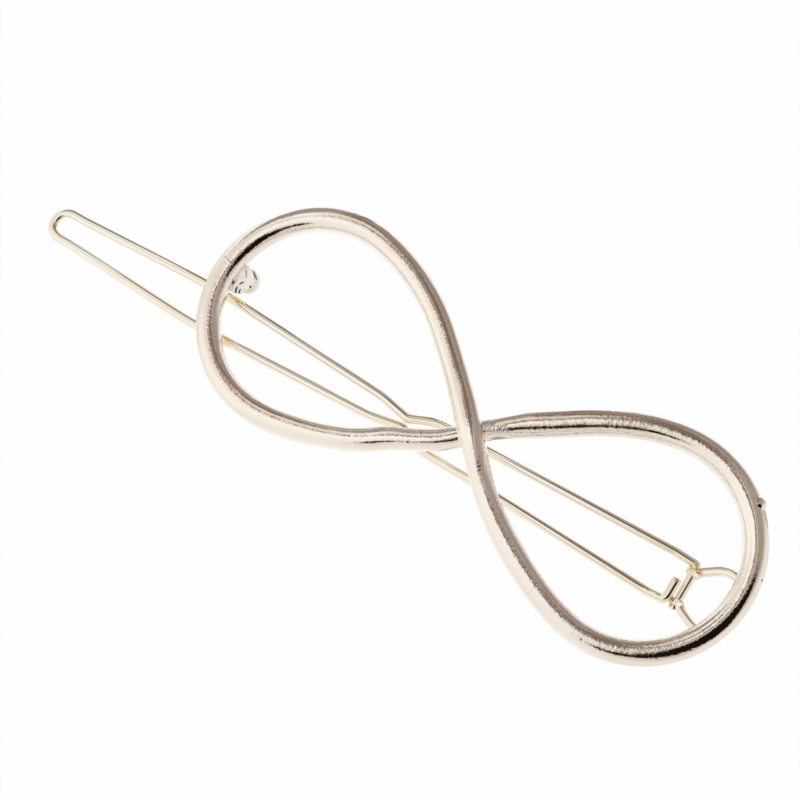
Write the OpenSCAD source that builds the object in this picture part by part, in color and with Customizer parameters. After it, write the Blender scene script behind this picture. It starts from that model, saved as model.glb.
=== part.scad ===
// Hair clip: a cast figure-eight band with a hinged, sprung wire arm behind it.
// Built in millimetres. X runs along the band towards the hinge, Z towards the decorated side.
// The clip lies on the plane z = 0, centred on X, with the band's own long axis at y = 0.

/* [Output] */

// Sub-part to draw, or all of them

/* [Band] */

// From the crossing to the band's centre line at either end
lobe_reach = 31.65; // [30.5:0.05:33]

// Radius of the band's centre line round each end
lobe_r = 11.2; // [10.5:0.05:11.6]

// How far each flank's radius lies from the end arc's radius to the largest that still meets the crossing
flank_share = 0.634; // [0.55:0.002:0.72]

// How far past its highest point the end arc meets the flank, in degrees
flank_turn = 9.2; // [6:0.1:12]

// Width of the band
band_w = 2.6; // [2.2:0.05:2.9]

// Height of the band from its flat back to the top of its dome
band_h = 2.0; // [1.7:0.05:2.3]

// How far the upper strand is raised where it passes over the lower one
cross_lift = 0.9; // [0.5:0.05:1.2]

// Share of the straight strand, from the crossing outwards, over which it is raised
lift_share = 0.77; // [0.6:0.01:0.9]

// Radius of the gate nub on the band's outer edge
gate_r = 0.9; // [0.6:0.05:1.1]

// How far the gate nub stands out of the band
gate_proud = 0.28; // [0.15:0.01:0.4]

// Direction of the gate nub from the middle of the right end arc, in degrees
gate_angle = 51; // [40:1:60]

/* [Catch] */

// From the band's centre line at the left end to the stud's axis
stud_in = 1.25; // [0.8:0.05:1.6]

// Stud's axis to the side of the band's long axis
stud_y = 0.25; // [0:0.05:0.5]

// Radius of the stud's head and foot
stud_r = 1.35; // [1.2:0.05:1.4]

// Radius of the groove between them
groove_r = 0.9; // [0.7:0.05:1]

// Height of the stud's foot
foot_h = 1.0; // [0.7:0.05:1.2]

// Height of the stud's head
head_h = 0.9; // [0.7:0.05:1]

// Radius that rounds the rims of the stud
stud_edge = 0.3; // [0.15:0.05:0.35]

// Height of the solder lump above the band's back
solder_h = 0.6; // [0.4:0.05:0.65]

/* [Hinge] */

// From the band's centre line at the right end to the hinge bar's axis
hinge_in = 5.35; // [4.9:0.05:5.8]

// Hinge bar's middle to the side of the band's long axis
hinge_y = -0.95; // [-1.2:0.05:-0.7]

// Depth of the hinge bar's axis behind the band's back
hinge_drop = 3.0; // [2.8:0.05:3.2]

// Diameter of both wires
wire_d = 1.0; // [0.9:0.01:1.05]

// Radial play of the hinge bar in each eye
eye_play = 0.04; // [0.02:0.01:0.06]

// Thickness of the flattened wire round each eye
eye_wall = 0.26; // [0.22:0.01:0.3]

// Width of each eye along the hinge bar
eye_w = 0.86; // [0.7:0.01:0.9]

// Hinge centre to the middle of each eye
eye_half = 1.31; // [1.2:0.01:1.35]

/* [Bail] */

// Clearance between the bail's far side and the band's back
bail_gap = 0.1; // [0.05:0.01:0.15]

// From the band's centre line at the right end to the axis of the bail's far side
bail_in = 0.05; // [-0.1:0.05:0.3]

// Half the bail's width, to the wire's axis
bail_half = 3.4; // [3.2:0.05:3.6]

// Distance along the bail at which its wires have spread fully
bail_spread = 2.45; // [2.2:0.05:2.7]

// Radius of the bends where the wires have spread
bail_spread_r = 1.5; // [1.2:0.1:1.7]

// Radius of the bail's far corners
bail_corner_r = 2.6; // [2.2:0.1:2.8]

// Where the wires start, as a distance from the hinge bar's axis
bail_start = 0.3; // [0.25:0.01:0.35]

/* [Pad] */

// From the band's centre line at the right end to the pad's inner edge
pad_in = 1.4; // [1.2:0.05:1.6]

// Length of the pad across the band's long axis
pad_len = 4.8; // [4:0.1:5.2]

// Pad's middle to the side of the band's long axis
pad_y = 0.1; // [-0.2:0.05:0.3]

// Thickness of the pad under the bail's far side
pad_under = 0.05; // [0.05:0.05:0.2]

/* [Arm] */

// Turn of the arm away from the band's long axis, in degrees
arm_turn = 3.7; // [3:0.1:4.2]

// Rise of the arm towards its tip, in degrees
arm_rise = 0.8; // [0.6:0.05:0.9]

// Clearance between each eye and the leg or the bend beside it
eye_side = 0.1; // [0.05:0.01:0.15]

// Inner radius of the bends at the hinge
hinge_bend_in = 0.05; // [0.04:0.01:0.08]

// How far the hinge bar's cut end passes the arm's middle
bar_reach = 2.75; // [2.6:0.05:2.85]

// Clearance between an eye and the tail beside the hinge bar
tail_gap = 0.06; // [0.04:0.01:0.08]

// How far past the crossing, along the arm, the flare behind the waist starts
flare_past = 4.1; // [3.7:0.1:4.3]

// Half the distance between the legs there
flare_half = 1.53; // [1.45:0.01:1.6]

// How far past the crossing the waist lies, where the legs come together
waist_past = 7.0; // [6.8:0.05:7.2]

// Gap between the legs at the waist
waist_gap = 0.06; // [0.04:0.01:0.1]

// How far past the crossing the waist's long side ends
neck_past = 10.5; // [10.2:0.1:10.9]

// Half the distance between the legs there
neck_half = 1.2; // [1.1:0.05:1.25]

// How far past the band's centre line at the left end the arm is widest
swell_past = 1.05; // [-1:0.05:3]

// Half the distance between the legs there
swell_half = 2.26; // [2.15:0.01:2.35]

// How far past the band's centre line at the left end the arm ends
tip_past = 21.2; // [20.5:0.05:21.9]

// Radius of the bend at the arm's outer end, to the wire's axis
tip_r = 1.42; // [1.35:0.01:1.45]

// Half the distance between the legs where that bend starts
tip_half = 1.5; // [1.46:0.01:1.55]

/* [Hidden] */

$fn = 96;

bright = [0.93, 0.87, 0.79];
rough = [0.87, 0.80, 0.70];
gold = [0.90, 0.80, 0.56];

wire_r = wire_d / 2;
band_r = band_w / 2;

// Centre of the right end arc
lobe_c = lobe_reach - lobe_r;

// Largest radius at which the flank still meets the crossing, and the flank's own radius
flank_ease = lobe_r - lobe_c * sin(flank_turn);
flank_most = (lobe_c * lobe_c / 2 + lobe_r * lobe_r / 2 - lobe_r * lobe_c * sin(flank_turn)) / flank_ease;
flank_r = lobe_r + flank_share * (flank_most - lobe_r);

// Centre of the arc along its upper flank
flank_c = [lobe_c + (flank_r - lobe_r) * sin(flank_turn), (lobe_r - flank_r) * cos(flank_turn)];

// The flank's arc ends where its tangent runs through the crossing
strand_turn = atan2(flank_c.y, flank_c.x) + asin(flank_r / norm(flank_c));
strand_len = sqrt(norm(flank_c) * norm(flank_c) - flank_r * flank_r);

// Half length of the raised stretch of the upper strand, and radius and half angle of its arcs
lift_len = lift_share * strand_len;
cross_r = (lift_len * lift_len / cross_lift + cross_lift) / 4;
lift_turn = acos(1 - cross_lift / (2 * cross_r));

// Places along X of what lies at the band's two ends
stud_x = lobe_reach - stud_in;
hinge_x = lobe_reach - hinge_in;
bail_x = lobe_reach - bail_in;
pad_x = lobe_reach - pad_in;

// Eyes of the bail, and the plane on which the clip lies
eye_r = wire_r + eye_play + eye_wall;
floor_drop = hinge_drop + eye_r;

// Depth of the bail's far side behind the band's back, to the wire's axis, and the pad round it
bail_drop = wire_r + bail_gap;
pad_t = bail_drop + wire_r + pad_under;

// Tilt and length of the bail, from the hinge bar up to its far side
bail_run = bail_x - hinge_x;
bail_rise = hinge_drop - bail_drop;
bail_tilt = atan(bail_rise / bail_run);
bail_len = norm([bail_run, bail_rise]);

// Half the distance between the legs at the hinge, and the bends there, to the wire's axis
leg_half = eye_half + eye_w / 2 + eye_side + wire_r;
hinge_bend_r = wire_r + hinge_bend_in;

// The tail lies beside the hinge bar, clear of the lower eye
tail_x = eye_r + tail_gap + wire_r;

// Places along the arm, from the hinge
flare_x = hinge_x + flare_past;
waist_x = hinge_x + waist_past;
neck_x = hinge_x + neck_past;
swell_x = hinge_x + lobe_reach + swell_past;
arm_reach = hinge_x + lobe_reach + tip_past;

// The waist's bend and the point that its two sides aim for
waist_r = 1.2 * wire_d;
flare_slope = atan((flare_half - wire_r) / (waist_x - flare_x));
neck_slope = atan((neck_half - wire_r) / (neck_x - waist_x));
waist_bend = flare_slope + neck_slope;
waist_half = wire_r + waist_gap / 2 - waist_r * (1 / cos(waist_bend / 2) - 1);
neck_r = 8 * wire_d;
swell_r = 60 * wire_d;

// Where two lengths of the band or of a wire meet, one is a seam larger and the other runs a lap into it
seam = wire_d / 100;
band_lap = band_r / 5;
wire_lap = wire_r / 8;

// Centres the clip on X
tip_c = (arm_reach - tip_r - wire_r) * cos(arm_turn) * cos(arm_rise);
tip_x = hinge_x - tip_c - tip_r - wire_r;
shift_x = -(tip_x + lobe_reach + band_r) / 2;

upper_leg = [
    [-flare_x, flare_half],
    [-waist_x, waist_half],
    [-neck_x, neck_half],
    [-swell_x, swell_half],
    [2 * tip_r + wire_r - arm_reach, tip_half],
    [wire_r - arm_reach, tip_half]
];
leg_bends = [neck_r, waist_r, neck_r, swell_r, neck_r, tip_r];

arm_points = concat(
    [[0, -bar_reach], [0, leg_half]],
    upper_leg,
    [for (i = [len(upper_leg) - 1:-1:0]) [upper_leg[i].x, -upper_leg[i].y]],
    [[-tail_x, -leg_half], [-tail_x, 0]]
);
arm_bends = concat(
    [0, hinge_bend_r],
    leg_bends,
    [for (i = [len(leg_bends) - 1:-1:0]) leg_bends[i]],
    [hinge_bend_r, 0]
);

bail_points = [
    [bail_start, eye_half],
    [bail_spread, bail_half],
    [bail_len, bail_half],
    [bail_len, -bail_half],
    [bail_spread, -bail_half],
    [bail_start, -eye_half]
];
bail_bends = [0, bail_spread_r, bail_corner_r, bail_corner_r, bail_spread_r, 0];

// Direction from one point of a wire to the next
function heading(a, b) = (b - a) / norm(b - a);

// Angle through which a wire turns at a point, and what its bend takes off each side
function bend_turn(a, p, b) = acos(heading(a, p) * heading(p, b));
function bend_trim(a, p, b, r) = r * tan(bend_turn(a, p, b) / 2);

// What the bend at one point of a wire takes off the straight on either side of it, less the lap
function trim_at(pts, bends, i) =
    i == 0 || i == len(pts) - 1 ? 0 : bend_trim(pts[i - 1], pts[i], pts[i + 1], bends[i]) - wire_lap;

// Places a piece in the frame in which the clip lies
module placed() {
    translate([shift_x, 0, floor_drop])
        children();
}

// Straight round bar from one point of a plane to another
module straight(a, b, r) {
    translate([a.x, a.y, 0])
        rotate([0, 0, atan2(b.y - a.y, b.x - a.x)])
            rotate([0, 90, 0])
                cylinder(h = norm(b - a), r = r);
}

// Round bend of a wire at one of its points
module bend(a, p, b, r, bend_r) {
    turn = bend_turn(a, p, b);
    middle = p + heading(heading(a, p), heading(p, b)) * bend_r / cos(turn / 2);
    first = p - heading(a, p) * bend_trim(a, p, b, bend_r) - middle;
    last = p + heading(p, b) * bend_trim(a, p, b, bend_r) - middle;
    left = cross(heading(a, p), heading(p, b)) > 0;
    start = left ? first : last;
    translate([middle.x, middle.y, 0])
        rotate([0, 0, atan2(start.y, start.x)])
            rotate_extrude(angle = turn)
                translate([bend_r, 0])
                    circle(r = r);
}

// Round wire through a list of points in a plane, with its bends
module wire(pts, bends, r) {
    for (i = [0:len(pts) - 2]) {
        along = heading(pts[i], pts[i + 1]);
        straight(
            pts[i] + along * trim_at(pts, bends, i),
            pts[i + 1] - along * trim_at(pts, bends, i + 1),
            r
        );
    }
    for (i = [1:len(pts) - 2])
        bend(pts[i - 1], pts[i], pts[i + 1], r + seam, bends[i]);
}

// Section of the band, its dome towards +X and its back on the Y axis or behind it
module band_profile(grow = 0, back = 0) {
    intersection() {
        union() {
            translate([band_h - band_r, 0])
                circle(r = band_r + grow);
            translate([-back, -band_r - grow])
                square([band_h - band_r + back, band_w + 2 * grow]);
        }
        translate([-back, -band_w])
            square([2 * band_h, 2 * band_w]);
    }
}

// Arc of the band that lies flat, round a point, lengthened by a lap at the end it starts from
module flat_arc(middle, r, start, turn, grow, ease = 0) {
    translate([middle.x, middle.y, 0])
        rotate([0, 0, start - ease])
            rotate_extrude(angle = turn + ease)
                translate([r, 0])
                    rotate(90)
                        band_profile(grow);
}

// Straight stretch of the band along +X
module band_run(from, length) {
    translate([from, 0, 0])
        rotate([0, -90, 180])
            linear_extrude(height = length)
                band_profile();
}

// Arc of the band along one flank, run a lap into the end arc
module flank() {
    ease = band_lap / flank_r * 180 / PI;
    flat_arc(flank_c, flank_r, 90 + flank_turn, strand_turn - flank_turn, seam, ease);
}

// One end of the band and its two flanks, up to the straight strands
module lobe() {
    flat_arc([lobe_c, 0], lobe_r, -90 - flank_turn, 180 + 2 * flank_turn, 2 * seam);
    flank();
    mirror([0, 1, 0])
        flank();
}

// Arc that bends up from the flat stretch, run a lap into the arc over the top
module rising_arc() {
    ease = band_lap / cross_r * 180 / PI;
    translate([-lift_len, 0, cross_r])
        rotate([90, 0, 0])
            rotate([0, 0, -90])
                rotate_extrude(angle = lift_turn + ease)
                    translate([cross_r, 0])
                        mirror([1, 0])
                            band_profile(seam, seam);
}

// Strand that passes over the crossing, along X
module over_strand() {
    for (side = [0, 1])
        mirror([side, 0, 0]) {
            band_run(-strand_len - band_lap, strand_len - lift_len + 2 * band_lap);
            rising_arc();
        }
    translate([0, 0, cross_lift - cross_r])
        rotate([90, 0, 0])
            rotate([0, 0, 90 - lift_turn])
                rotate_extrude(angle = 2 * lift_turn)
                    translate([cross_r, 0])
                        band_profile(2 * seam, 2 * seam);
}

// Cast band: two loops, the flat strand and the strand that passes over it
module frame_band() {
    color(bright)
        placed() {
            lobe();
            mirror([1, 0, 0])
                lobe();
            rotate([0, 0, strand_turn])
                band_run(-strand_len - band_lap, 2 * (strand_len + band_lap));
            rotate([0, 0, -strand_turn])
                over_strand();
            translate([lobe_c, 0, band_h / 2])
                rotate([0, 0, gate_angle])
                    translate([lobe_r + band_r + gate_proud - gate_r, 0, 0])
                        sphere(r = gate_r);
        }
}

// Round disc with rounded rims, from z = 0 up
module rounded_disc(r, h, edge) {
    rotate_extrude() {
        square([r - edge, h]);
        translate([0, edge])
            square([r, h - 2 * edge]);
        translate([r - edge, edge])
            circle(r = edge);
        translate([r - edge, h - edge])
            circle(r = edge);
    }
}

// Stud behind the left end, with the groove that the arm's leg is pushed into
module catch_stud() {
    color(rough)
        placed()
            translate([-stud_x, stud_y, -floor_drop]) {
                rounded_disc(stud_r, head_h, stud_edge);
                cylinder(h = floor_drop - foot_h, r = groove_r);
                translate([0, 0, floor_drop - foot_h])
                    rounded_disc(stud_r, foot_h, stud_edge);
            }
}

// Solder that stands on the stud's foot against the inner wall of the band
module catch_solder() {
    color(rough)
        placed()
            intersection() {
                translate([-stud_x, stud_y, 0])
                    union() {
                        cylinder(h = solder_h / 2, r = stud_r - stud_edge);
                        translate([0, 0, solder_h / 2])
                            cylinder(h = solder_h / 2, r1 = stud_r - stud_edge, r2 = stud_r - 2 * stud_edge);
                    }
                translate([-lobe_c, 0, 0])
                    cylinder(h = solder_h, r = lobe_r - band_r - 2 * seam);
            }
}

// Frame of the bail and the arm: the hinge bar along Y, the arm towards -X
module at_hinge() {
    translate([hinge_x, hinge_y, -hinge_drop])
        rotate([0, 0, arm_turn])
            children();
}

// Bail as one wire with an eye rolled at each end
module bail_wire() {
    at_hinge()
        rotate([0, -bail_tilt, 0])
            difference() {
                union() {
                    wire(bail_points, bail_bends, wire_r);
                    for (side = [-1, 1])
                        translate([0, side * eye_half + eye_w / 2, 0])
                            rotate([90, 0, 0])
                                cylinder(h = eye_w, r = eye_r);
                }
                translate([0, bail_half, 0])
                    rotate([90, 0, 0])
                        cylinder(h = 2 * bail_half, r = wire_r + eye_play);
            }
}

// D-shaped base wire
module bail() {
    color(gold)
        placed()
            bail_wire();
}

// Plate behind the right end, with the bail's far side let into it
module hinge_pad() {
    color(rough)
        placed()
            difference() {
                intersection() {
                    translate([pad_x, pad_y - pad_len / 2, -pad_t])
                        cube([lobe_reach, pad_len, pad_t]);
                    translate([lobe_c, 0, -pad_t])
                        cylinder(h = pad_t, r = lobe_r + band_r);
                }
                bail_wire();
            }
}

// Sprung arm: one wire, its upper end the hinge bar and its lower end the tail
module arm() {
    color(gold)
        placed()
            at_hinge()
                rotate([0, arm_rise, 0])
                    wire(arm_points, arm_bends, wire_r);
}

frame_band();
catch_stud();
catch_solder();
hinge_pad();
bail();
arm();
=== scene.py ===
"""Hair clip: a cast figure-eight band of pale gold, and behind it a hinged arm of gold wire.

Each piece is modelled in millimetres in the band's own frame: the crossing of its two strands is
the origin, X runs along the band towards the hinge and Z towards the decorated side. A finished
piece is then brought to metres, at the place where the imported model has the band.
"""

import logging
import math
from collections.abc import Callable
from dataclasses import dataclass
from enum import Enum
from math import radians

import bpy
from mathutils import Matrix, Vector


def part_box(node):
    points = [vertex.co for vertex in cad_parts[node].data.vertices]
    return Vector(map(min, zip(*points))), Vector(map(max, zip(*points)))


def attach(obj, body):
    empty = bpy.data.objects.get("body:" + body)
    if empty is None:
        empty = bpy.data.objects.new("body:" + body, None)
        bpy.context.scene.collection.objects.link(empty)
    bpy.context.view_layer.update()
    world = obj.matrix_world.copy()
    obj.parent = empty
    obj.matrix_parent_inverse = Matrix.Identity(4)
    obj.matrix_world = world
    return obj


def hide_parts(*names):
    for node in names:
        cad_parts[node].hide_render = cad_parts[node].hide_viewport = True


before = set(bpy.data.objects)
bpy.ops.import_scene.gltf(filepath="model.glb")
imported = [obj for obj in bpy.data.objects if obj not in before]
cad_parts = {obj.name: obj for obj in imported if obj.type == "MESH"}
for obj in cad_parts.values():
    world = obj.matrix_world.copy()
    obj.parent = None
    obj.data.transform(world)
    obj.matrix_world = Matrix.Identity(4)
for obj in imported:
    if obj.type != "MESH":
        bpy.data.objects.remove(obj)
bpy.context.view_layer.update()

MM = 0.001
UP = Vector((0.0, 0.0, 1.0))
WHITE = (1.0, 1.0, 1.0)
PALE = (0.95, 0.95, 0.95)
GROUND = (0.985, 0.985, 0.985)

Pair = tuple[float, float]
Point = tuple[float, float, float]
Colour = tuple[float, float, float]
Socket = bpy.types.NodeSocket
Value = float | Vector | tuple | Socket

logging.basicConfig(level=logging.INFO, format="%(message)s")
LOG = logging.getLogger("hair_clip")


def crossing_place() -> Vector:
    """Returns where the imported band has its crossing, on the plane of its flat back, in metres."""
    low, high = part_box("frame_band")
    return Vector(((low.x + high.x) / 2, (low.y + high.y) / 2, low.z))


def settle() -> None:
    """Applies the place, turn and size of the selected objects to their meshes."""
    bpy.ops.object.transform_apply(location=True, rotation=True, scale=True)


def select_mesh() -> None:
    """Selects all of the mesh that is being edited."""
    bpy.ops.mesh.select_all(action="SELECT")


def extrude(step: Vector | Point) -> None:
    """Leads the selected section on by one step."""
    bpy.ops.mesh.extrude_region_move(TRANSFORM_OT_translate={"value": step})


def heading(start: Vector, end: Vector) -> Vector:
    """Returns the direction from one point to another."""
    return (end - start).normalized()


class Union(Enum):
    """Ways in which one piece can change another."""

    JOIN = "UNION"
    CUT = "DIFFERENCE"
    KEEP = "INTERSECT"


WIDEST_STEP = radians(9)
TOUCH = 0.001


@dataclass
class Turn:
    """One bend of a path: about a centre and an axis, through an angle.

    Args:
        centre: Its centre.
        axis: Its axis, by the right-hand rule.
        angle: Its angle, in radians.
        radius: Radius of the path there.
    """

    centre: Vector
    axis: Vector
    angle: float
    radius: float


@dataclass
class Run:
    """One straight stretch of a path, as the vector along it."""

    along: Vector


@dataclass(frozen=True)
class Slack:
    """A place at which a casting is out of true.

    Args:
        at: Its middle, in the band's frame.
        reach: Where the shift has died away, along a direction and across it.
        turn: That direction, in degrees.
        shift: The shift in the middle, along X and Y.
    """

    at: Pair
    reach: Pair
    turn: float
    shift: Pair

    def share(self, co: Vector) -> float:
        """Measures how much of the shift a place gets.

        Args:
            co: The place.

        Returns:
            The share, from 0 to 1.
        """
        away = co.xy - Vector(self.at)
        away.rotate(Matrix.Rotation(-radians(self.turn), 2))
        near = max(0.0, 1 - math.hypot(away.x / self.reach[0], away.y / self.reach[1]))
        return near * near * (3 - 2 * near)


class Piece:
    """One mesh on the bench, modelled in millimetres in the band's frame.

    Args:
        name: Name of the finished piece.
    """

    def __init__(self, name: str) -> None:
        """Starts with a name, and no mesh yet."""
        self.name = name
        self.obj: bpy.types.Object | None = None

    def start(self, primitive: Callable, **settings: object) -> None:
        """Starts the piece as a primitive, in edit mode with all of it selected.

        Args:
            primitive: Operator that adds it.
            **settings: What the operator is told.
        """
        bpy.ops.object.select_all(action="DESELECT")
        primitive(**settings)
        self.adopt()

    def adopt(self) -> None:
        """Takes the primitive just added, and opens it in edit mode with all of it selected."""
        self.obj = bpy.context.active_object
        self.obj.name = self.name
        self.obj.data.name = self.name
        settle()
        bpy.ops.object.mode_set(mode="EDIT")
        bpy.ops.mesh.select_mode(type="VERT")
        select_mesh()

    def ring(self, at: Vector, along: Vector, radius: float, corners: int) -> None:
        """Starts the piece as a round section.

        Args:
            at: Centre of the section.
            along: Direction in which the section will be led.
            radius: Radius of the section.
            corners: Number of points round it.
        """
        turned = along.to_track_quat("Z", "Y").to_euler()
        add = bpy.ops.mesh.primitive_circle_add
        self.start(add, vertices=corners, radius=radius, location=at, rotation=turned)

    def plate(self, size: Pair, at: Point, turned: Point) -> None:
        """Starts the piece as a flat rectangle.

        Args:
            size: Its length and width.
            at: Its middle.
            turned: Its turn about each axis, in radians.
        """
        bpy.ops.object.select_all(action="DESELECT")
        bpy.ops.mesh.primitive_plane_add(size=1.0)
        plane = bpy.context.active_object
        plane.scale = (*size, 1.0)
        plane.rotation_euler = turned
        plane.location = at
        self.adopt()

    def turned(self, at: Vector, profile: list[Pair], corners: int = 56) -> None:
        """Starts the piece as a turned solid, closed at both ends.

        Args:
            at: Point from which the heights count.
            profile: Height and radius of each ring, from the lowest up.
            corners: Number of points round it.
        """
        height, radius = profile[0]
        self.ring(at + UP * height, UP, radius, corners)
        bpy.ops.mesh.edge_face_add()
        select_mesh()
        for next_height, next_radius in profile[1:]:
            extrude((0, 0, next_height - height))
            share = next_radius / radius
            middle = at + UP * next_height
            bpy.ops.transform.resize(value=(share, share, 1.0), center_override=middle)
            height, radius = next_height, next_radius
        self.close()

    def ball(self, at: Vector, size: Point, fineness: int = 5) -> "Piece":
        """Starts the piece as an ellipsoid.

        Args:
            at: Its centre.
            size: Its three half lengths.
            fineness: How often its faces are divided.

        Returns:
            The piece itself.
        """
        add = bpy.ops.mesh.primitive_ico_sphere_add
        self.start(add, subdivisions=fineness, radius=1.0, location=at, scale=size)
        self.close()
        return self

    def select_where(self, test: Callable[[Vector], bool]) -> None:
        """Selects the vertices that pass a test, and no others.

        Args:
            test: Whether to select a vertex, by its place.
        """
        bpy.ops.object.mode_set(mode="OBJECT")
        points = self.obj.data.vertices
        for point in points:
            point.select = bool(test(point.co))
        for part in (*self.obj.data.edges, *self.obj.data.polygons):
            part.select = all(points[v].select for v in part.vertices)
        bpy.ops.object.mode_set(mode="EDIT")

    def lead(self, path: list[Turn | Run], pitch: float) -> None:
        """Leads the selected section along a path, with a ring at every pitch.

        Args:
            path: Bends and straight stretches, in order.
            pitch: Greatest distance between two rings.
        """
        for part in path:
            if isinstance(part, Turn):
                steps = max(part.radius * part.angle / pitch, part.angle / WIDEST_STEP)
                steps = max(2, math.ceil(steps))
                # the operator turns by the left-hand rule
                bpy.ops.mesh.spin(
                    steps=steps, angle=part.angle, center=part.centre, axis=-part.axis
                )
                continue
            steps = max(1, math.ceil(part.along.length / pitch))
            for _ in range(steps):
                extrude(part.along / steps)

    def modify(self, kind: str, **settings: object) -> None:
        """Adds one modifier and applies it.

        Args:
            kind: Blender's name for the modifier's kind.
            **settings: What is set on it.
        """
        bpy.ops.object.mode_set(mode="OBJECT")
        modifier = self.obj.modifiers.new(kind.lower(), kind)
        for name, value in settings.items():
            setattr(modifier, name, value)
        bpy.context.view_layer.objects.active = self.obj
        bpy.ops.object.modifier_apply(modifier=modifier.name)

    def apply(self, union: Union, other: "Piece", discard: bool = True, own: bool = False) -> None:
        """Joins the piece with another, cuts it by it or keeps what they share.

        Args:
            union: What is done.
            other: The other piece.
            discard: Whether the other piece is removed afterwards.
            own: Whether the piece's own crossings are resolved too.
        """
        how = {"operation": union.value, "solver": "EXACT", "use_self": own}
        self.modify("BOOLEAN", object=other.obj, **how)
        if discard:
            bpy.data.objects.remove(other.obj, do_unlink=True)

    def recast(self, voxel: float) -> None:
        """Rebuilds the surface from even faces, as one skin.

        Args:
            voxel: Size of the faces, in millimetres.
        """
        self.modify("REMESH", mode="VOXEL", voxel_size=voxel)

    def roughen(self, *grains: Pair, group: str = "") -> None:
        """Moves the surface in and out by clouds of noise.

        Args:
            *grains: Size of the clouds, and how far they move the surface between its lowest
                and its highest, in millimetres.
            group: Vertex group that limits it, or nothing for the whole piece.
        """
        for size, depth in grains:
            clouds = bpy.data.textures.new(self.name + "_cast", "CLOUDS")
            clouds.noise_scale = size
            how = {"texture_coords": "LOCAL", "mid_level": 0.5, "vertex_group": group}
            self.modify("DISPLACE", texture=clouds, strength=depth, **how)

    def nudge(self, slack: Slack) -> None:
        """Shifts the piece near a point, and less and less away from it.

        Args:
            slack: Where it is shifted, and how far.
        """
        self.group("nudge", slack.share)
        how = {"mid_level": 0.0, "vertex_group": "nudge"}
        for axis, amount in zip("XY", slack.shift):
            self.modify("DISPLACE", direction=axis, strength=amount, **how)
        self.obj.vertex_groups.remove(self.obj.vertex_groups["nudge"])

    def group(self, name: str, weight: Callable[[Vector], float]) -> None:
        """Makes a vertex group.

        Args:
            name: Name of the group.
            weight: A vertex's weight from 0 to 1, by its place.
        """
        bpy.ops.object.mode_set(mode="OBJECT")
        made = self.obj.vertex_groups.new(name=name)
        for vertex in self.obj.data.vertices:
            share = weight(vertex.co)
            if share > 0:
                made.add([vertex.index], share, "REPLACE")

    def close(self, merge: float = 0.0005) -> None:
        """Merges doubled points and turns every face outwards.

        Args:
            merge: Distance within which points are merged.
        """
        bpy.ops.object.mode_set(mode="EDIT")
        select_mesh()
        bpy.ops.mesh.remove_doubles(threshold=merge)
        bpy.ops.mesh.normals_make_consistent(inside=False)
        bpy.ops.object.mode_set(mode="OBJECT")

    def pick(self) -> None:
        """Leaves edit mode, and makes the piece the active object and the only one selected."""
        bpy.ops.object.mode_set(mode="OBJECT")
        bpy.ops.object.select_all(action="DESELECT")
        self.obj.select_set(True)
        bpy.context.view_layer.objects.active = self.obj

    def put(self, place: Matrix) -> None:
        """Moves the piece to its place and keeps it there.

        Args:
            place: The matrix that moves it.
        """
        self.pick()
        self.obj.matrix_world = place
        settle()

    def deliver(self, finish: bpy.types.Material, body: str, slot: str, *nodes: str) -> None:
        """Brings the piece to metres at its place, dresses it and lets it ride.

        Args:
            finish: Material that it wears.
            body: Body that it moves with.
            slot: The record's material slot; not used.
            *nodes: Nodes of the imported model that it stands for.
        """
        self.pick()
        self.obj.location = crossing_place()
        self.obj.scale = (MM, MM, MM)
        settle()
        bpy.ops.object.shade_smooth_by_angle(angle=radians(40))
        self.obj.data.materials.clear()
        self.obj.data.materials.append(finish)
        self.obj.select_set(False)
        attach(self.obj, body)
        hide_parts(*nodes)
        faces = len(self.obj.data.polygons)
        LOG.info("%s: %d faces, on %s, for %s", self.name, faces, body, ", ".join(nodes))


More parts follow.
